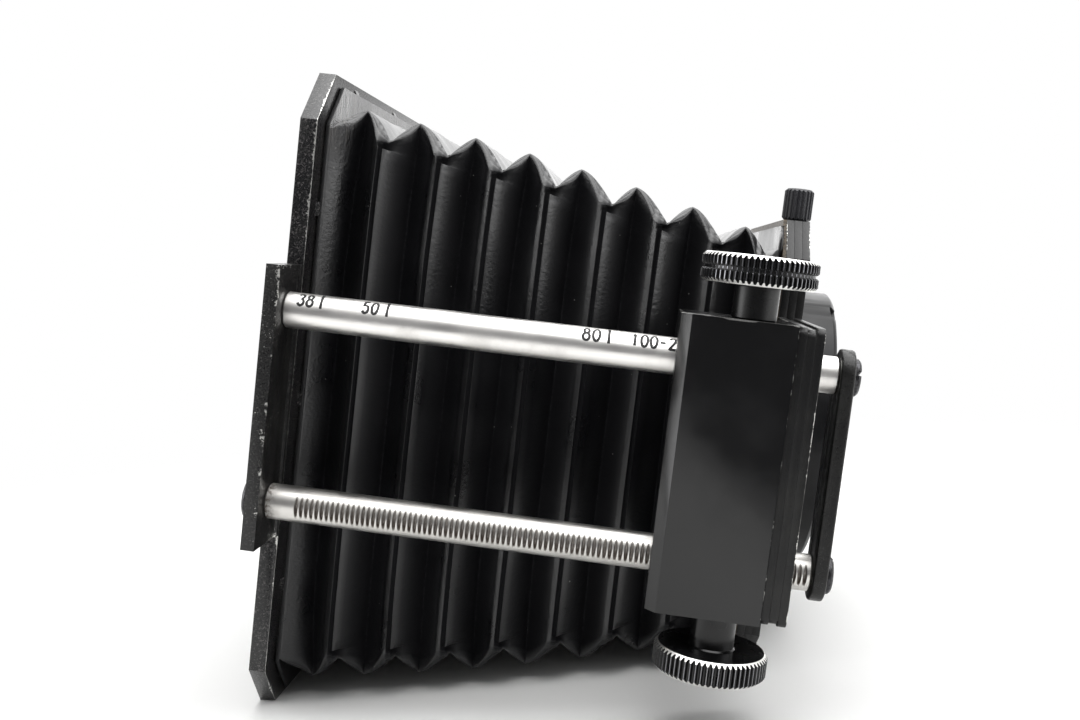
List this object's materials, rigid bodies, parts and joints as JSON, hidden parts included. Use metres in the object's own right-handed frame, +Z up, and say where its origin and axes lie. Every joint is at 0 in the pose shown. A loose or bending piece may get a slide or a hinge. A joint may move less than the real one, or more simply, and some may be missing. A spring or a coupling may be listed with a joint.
{
  "type": "bellows lens hood",
  "caption": "Folding lens hood: a square frame slides on two rails over a tapered pleated bellows, driven by rack and pinion, with a round lens ring behind its rear plate.",
  "frame": {"origin": "on the lens axis, at the rear face of the lens ring", "axes": "+X along the lens axis towards the camera, +Z up as the hood stands in the picture, the rails on the -Y side"},
  "size_m": [0.1085, 0.1436, 0.123],
  "materials": {
    "front_frame": "black crackle paint, worn bright on its edges",
    "bracket": "black paint, speckled and worn at the edges",
    "screws": "blackened steel, worn",
    "scale_rail": "satin ground bar, engraved scale filled in black",
    "rack_rail": "satin ground bar with brown grime in the tooth gaps",
    "strap": "black paint, worn on the edges",
    "bellows": "satin black leatherette, creased and dusty",
    "brass": "dull brass",
    "rear_plate": "matte black paint with worn bright edges",
    "lens_ring": "black anodised, satin",
    "carriage_block": "satin black anodised",
    "bushes": "black bearing plastic",
    "pinion_bushes": "turned brass",
    "brake_pad": "white bearing plastic",
    "springs": "spring steel",
    "pinion_shaft": "turned steel",
    "knobs": "black anodised, rims turned bright",
    "thumb_screw": "black anodised, knurled"
  },
  "bodies": {
    "rear_standard": {"plate_front": "rear_plate", "plate_core": "rear_plate", "plate_back": "rear_plate", "bellows_brass_frame": "brass", "plate_screws": "screws", "carriage_block": "carriage_block", "carriage_screws": "screws", "rail_bushes": "bushes", "pinion_bushes": "pinion_bushes", "brake_pad": "brake_pad", "brake_springs": "springs", "brake_plug": "screws", "bellows": "bellows"},
    "front_standard": {"front_frame": "front_frame", "flange_tabs": "bracket", "rail_bracket": "bracket", "bracket_screws": "screws", "scale_rail": "scale_rail", "rack_rail": "rack_rail", "front_screw_upper": "screws", "front_screw_lower": "screws", "end_strap": "strap", "strap_screws": "screws"},
    "lens_ring": {"lens_ring": "lens_ring"},
    "pinion": {"pinion_shaft": "pinion_shaft", "upper_knob": "knobs", "lower_knob": "knobs", "knob_set_screws": "screws"},
    "thumb_screw": {"thumb_screw": "thumb_screw"}
  },
  "joints": [
    {"name": "front_slide", "type": "slide", "parent": "rear_standard", "child": "front_standard", "axis": [1, 0, 0], "range_m": [-0.004, 0.0624], "deforming": ["bellows"]},
    {"name": "pinion_turn", "type": "hinge", "parent": "rear_standard", "child": "pinion", "pos_m": [-0.0226, -0.07225, 0], "axis": [0, 0, 1], "range_deg": [-2000, 140]},
    {"name": "ring_turn", "type": "hinge", "parent": "rear_standard", "child": "lens_ring", "pos_m": [0, 0, 0], "axis": [1, 0, 0], "continuous": true},
    {"name": "thumb_screw_turn", "type": "hinge", "parent": "rear_standard", "child": "thumb_screw", "pos_m": [-0.01315, -0.0325, 0.0445], "axis": [0, 0, 1], "range_deg": [-360, 0]}
  ],
  "couplings": [
    {"joint": "pinion_turn", "follows": "front_slide", "rad_per_m": -555.56}
  ]
}
